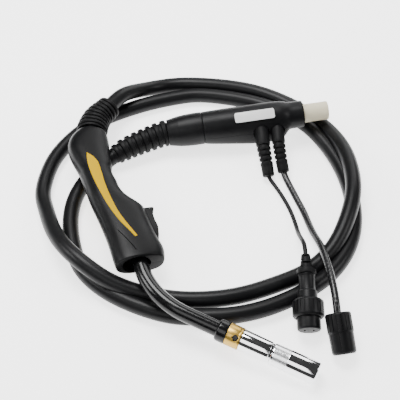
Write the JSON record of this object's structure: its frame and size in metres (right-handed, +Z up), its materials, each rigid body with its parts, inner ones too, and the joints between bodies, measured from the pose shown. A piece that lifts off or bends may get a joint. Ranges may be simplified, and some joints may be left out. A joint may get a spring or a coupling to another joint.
{
  "type": "mig welding torch",
  "caption": "Gas-cooled MIG welding torch: handle with trigger, swan neck and nozzle on a long looped power cable, with machine connector, control lead and gas hose.",
  "frame": {"origin": "on the bench, under the middle of the gun's own box (handle, neck and nozzle)", "axes": "+Z up from the bench; +Y from the nozzle's side back towards the handle's cable end, the gun's longest extent; +X to the right, the way the nozzle points sideways"},
  "size_m": [0.402, 0.472, 0.0582],
  "materials": {
    "moulded_black": "fine-grained moulded black plastic",
    "trigger_black": "smoother moulded black plastic",
    "boot_rubber": "matt ribbed rubber",
    "cable_jacket": "smooth extruded rubber with a soft sheen",
    "neck_black": "smooth glossy insulation",
    "gloss_black": "glossy black",
    "yellow_trim": "smooth yellow inlay",
    "chrome": "polished plating",
    "brass": "turned brass",
    "copper": "drawn copper",
    "steel": "zinc-plated steel",
    "insulator": "fired ceramic and glass-filled plastic",
    "ivory_plastic": "soft ivory plastic",
    "white_plate": "blank white plate"
  },
  "bodies": {
    "root": {"handle_shell_left": "moulded_black", "handle_shell_right": "moulded_black", "yellow_inlay_left": "yellow_trim", "yellow_inlay_right": "yellow_trim", "handle_screw_1": "steel", "handle_screw_2": "steel", "handle_screw_3": "steel", "handle_screw_4": "steel", "connector_screw_1": "steel", "connector_screw_2": "steel", "connector_screw_3": "steel", "trigger_pin": "steel", "neck_liner": "steel", "micro_switch": "gloss_black", "collar_set_screw": "gloss_black", "pin_o_ring": "gloss_black", "gas_seal": "gloss_black", "nozzle_insulator": "insulator", "gas_diffuser": "insulator", "switch_wire_1": "copper", "switch_wire_2": "copper", "neck_tube": "copper", "contact_tip": "copper", "cable_terminal": "copper", "rear_cable_terminal": "copper", "neck_jacket": "neck_black", "neck_bush": "boot_rubber", "handle_boot": "boot_rubber", "rear_boot": "boot_rubber", "control_boot": "boot_rubber", "gas_boot": "boot_rubber", "plug_strain_relief": "boot_rubber", "neck_clamp_block": "brass", "brass_collar": "brass", "tip_holder": "brass", "torch_body_block": "brass", "connector_block": "brass", "power_pin": "brass", "plug_contact_1": "brass", "plug_contact_2": "brass", "gas_nipple": "brass", "nozzle_sleeve": "chrome", "power_cable": "cable_jacket", "control_lead": "cable_jacket", "gas_hose": "cable_jacket", "rear_collar": "moulded_black", "connector_shell_upper": "moulded_black", "connector_shell_lower": "moulded_black", "plug_body": "moulded_black", "plug_insert": "moulded_black", "label_plate": "white_plate"},
    "trigger": {"trigger": "trigger_black"},
    "plunger": {"switch_plunger": "insulator"},
    "nozzle_cup": {"nozzle_cup": "chrome"},
    "coupling_ring": {"plug_coupling_ring": "moulded_black"},
    "gas_nut": {"gas_nut": "moulded_black"},
    "protective_cap": {"protective_cap": "ivory_plastic"}
  },
  "joints": [
    {"name": "trigger_pull", "type": "hinge", "parent": "root", "child": "trigger", "pos_m": [-0.03773, 0.0058, 0.03175], "axis": [0.1501, 0.048, 0.9875], "range_deg": [0, 4.5], "stiffness_Nm_per_rad": 2, "springref_deg": -1.72},
    {"name": "switch_press", "type": "slide", "parent": "root", "child": "plunger", "axis": [-0.9469, -0.2802, 0.1575], "range_m": [0, 0.0025]},
    {"name": "nozzle_turn", "type": "hinge", "parent": "root", "child": "nozzle_cup", "pos_m": [0.04877, -0.11579, 0.02452], "axis": [0.9053, -0.408, -0.1178], "continuous": true},
    {"name": "plug_ring_turn", "type": "hinge", "parent": "root", "child": "coupling_ring", "pos_m": [0.13826, -0.08166, 0.02132], "axis": [-0.0023, -0.961, -0.2765], "continuous": true},
    {"name": "gas_nut_turn", "type": "hinge", "parent": "root", "child": "gas_nut", "pos_m": [0.168, -0.0945, 0.0312], "axis": [0.1402, -0.879, -0.4558], "continuous": true},
    {"name": "cap_pull", "type": "slide", "parent": "root", "child": "protective_cap", "axis": [0.9895, 0.1215, 0.0785], "range_m": [0, 0.032]}
  ],
  "couplings": [
    {"joint": "switch_press", "follows": "trigger_pull", "m_per_rad": 0.03}
  ]
}
